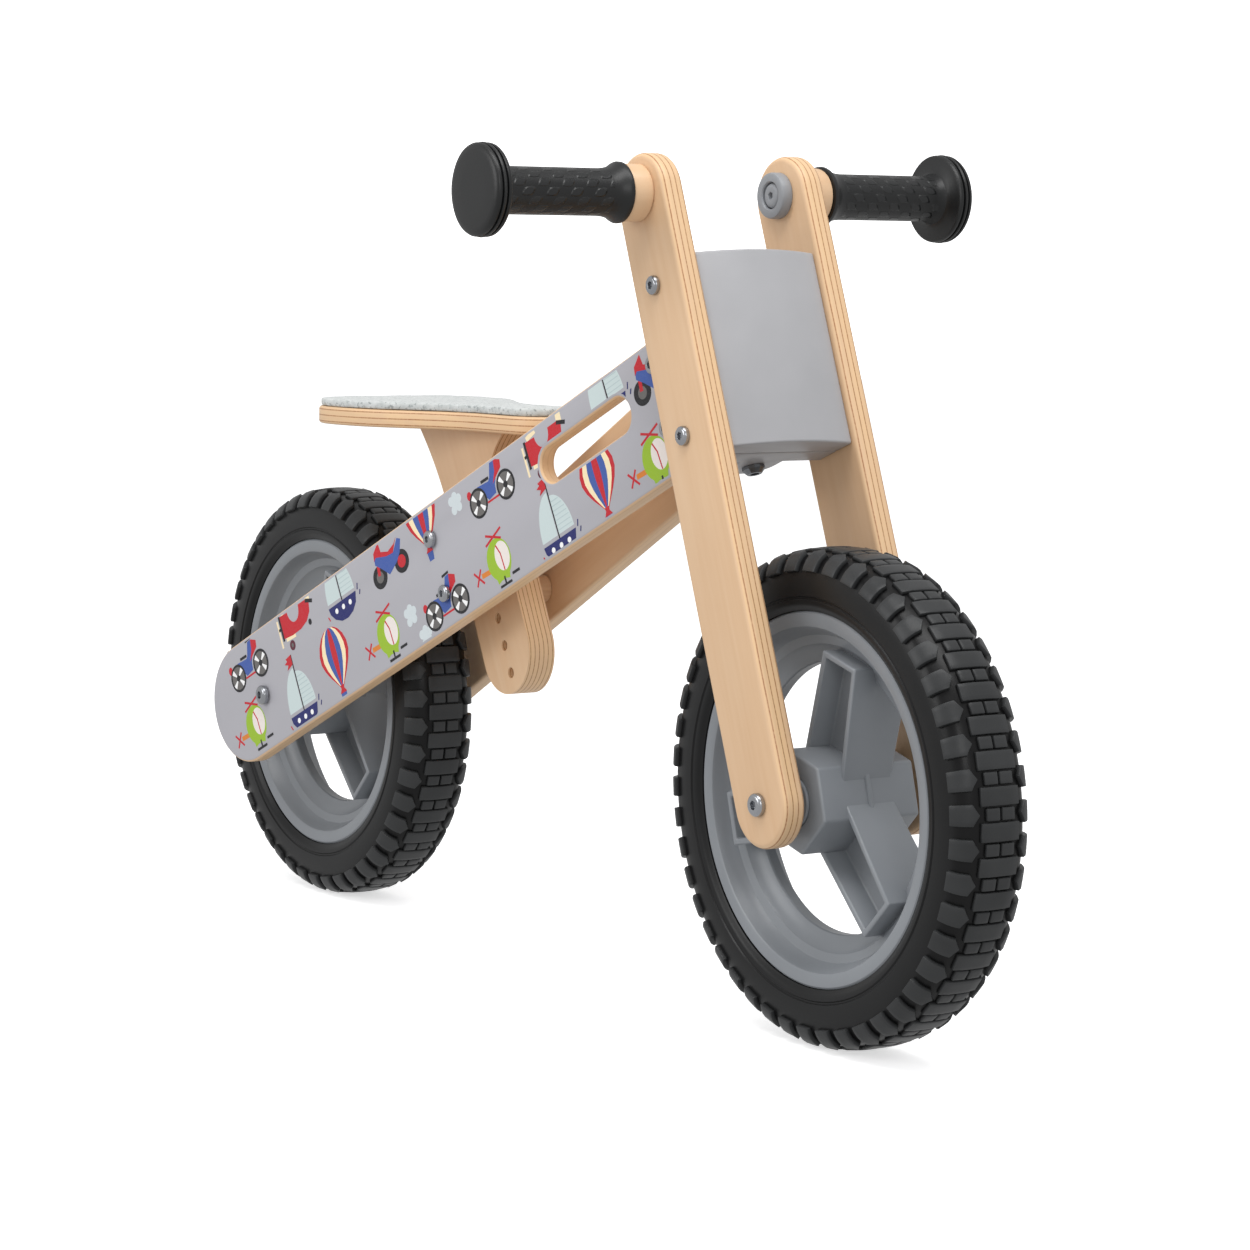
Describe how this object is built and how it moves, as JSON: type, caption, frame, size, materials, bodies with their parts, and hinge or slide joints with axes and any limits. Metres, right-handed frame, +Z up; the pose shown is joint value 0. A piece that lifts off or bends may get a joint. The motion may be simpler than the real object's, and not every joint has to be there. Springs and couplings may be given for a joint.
{
  "type": "balance bike",
  "caption": "A child's wooden balance bike with a grey printed plywood frame, a raked wooden fork, black foam tyres on grey rims, a felt-topped adjustable seat and rubber grips.",
  "frame": {"origin": "On the ground, midway between the two axles, on the bike's centre plane.", "axes": "+X is forward, +Y is the rider's left, +Z is up."},
  "size_m": [0.882, 0.3456, 0.5196],
  "materials": {
    "laminate": "plywood with a satin grey printed laminate outside and bare birch inside and on the rounded edges",
    "birch": "clear satin lacquer on birch plywood, thin ply lines on the edges",
    "grey_paint": "satin grey paint on wood",
    "steel": "zinc plated, satin, turned faces",
    "rubber": "matt black moulded rubber",
    "tyre": "matt black closed-cell foam with a fine moulded skin",
    "plastic": "grey moulded plastic, fine satin texture",
    "felt": "light grey wool felt with darker speckles"
  },
  "bodies": {
    "frame": {"frame_panel_right": "laminate", "frame_panel_left": "laminate", "neck_block": "birch", "neck_bolt_upper": "steel", "neck_bolt_lower": "steel", "neck_nut_upper": "steel", "neck_nut_lower": "steel", "seat_bolt_upper": "steel", "seat_bolt_lower": "steel", "seat_nut_upper": "steel", "seat_nut_lower": "steel", "seat_spacer_upper_right": "plastic", "seat_spacer_upper_left": "plastic", "seat_spacer_lower_right": "plastic", "seat_spacer_lower_left": "plastic", "rear_axle_bolt": "steel", "rear_axle_nut": "steel", "rear_spacer_right": "plastic", "rear_spacer_left": "plastic"},
    "seat": {"seat_post": "birch", "seat_board": "birch", "seat_pad": "felt", "seat_screw_rear": "steel", "seat_screw_front": "steel"},
    "fork": {"fork_leg_right": "birch", "fork_leg_left": "birch", "handlebar_stub_right": "birch", "handlebar_stub_left": "birch", "head_front_board": "grey_paint", "head_bottom_plate": "grey_paint", "head_top_plate": "grey_paint", "front_axle_bolt": "steel", "front_axle_nut": "steel", "steering_bolt": "steel", "steering_nut": "steel", "handlebar_bolt_right": "steel", "handlebar_bolt_left": "steel", "leg_bolt_upper_right": "steel", "leg_bolt_upper_left": "steel", "leg_bolt_lower_right": "steel", "leg_bolt_lower_left": "steel", "front_spacer_right": "plastic", "front_spacer_left": "plastic", "steering_washer_lower": "plastic", "steering_washer_upper": "plastic", "handlebar_cap_right": "plastic", "handlebar_cap_left": "plastic", "grip_right": "rubber", "grip_left": "rubber"},
    "front_wheel": {"front_tyre": "tyre", "front_rim": "plastic", "front_bush_right": "plastic", "front_bush_left": "plastic"},
    "rear_wheel": {"rear_tyre": "tyre", "rear_rim": "plastic", "rear_bush_right": "plastic", "rear_bush_left": "plastic"}
  },
  "joints": [
    {"name": "steering", "type": "hinge", "parent": "frame", "child": "fork", "pos_m": [0.18394, 0, 0.38606], "axis": [-0.3486, 0, 0.9373], "range_deg": [-35, 35]},
    {"name": "front_wheel_spin", "type": "hinge", "parent": "fork", "child": "front_wheel", "pos_m": [0.296, 0, 0.145], "axis": [0, 1, 0], "continuous": true},
    {"name": "rear_wheel_spin", "type": "hinge", "parent": "frame", "child": "rear_wheel", "pos_m": [-0.296, 0, 0.145], "axis": [0, 1, 0], "continuous": true},
    {"name": "seat_slide", "type": "slide", "parent": "frame", "child": "seat", "axis": [-0.4368, 0, 0.8996], "range_m": [0, 0.0576]}
  ]
}
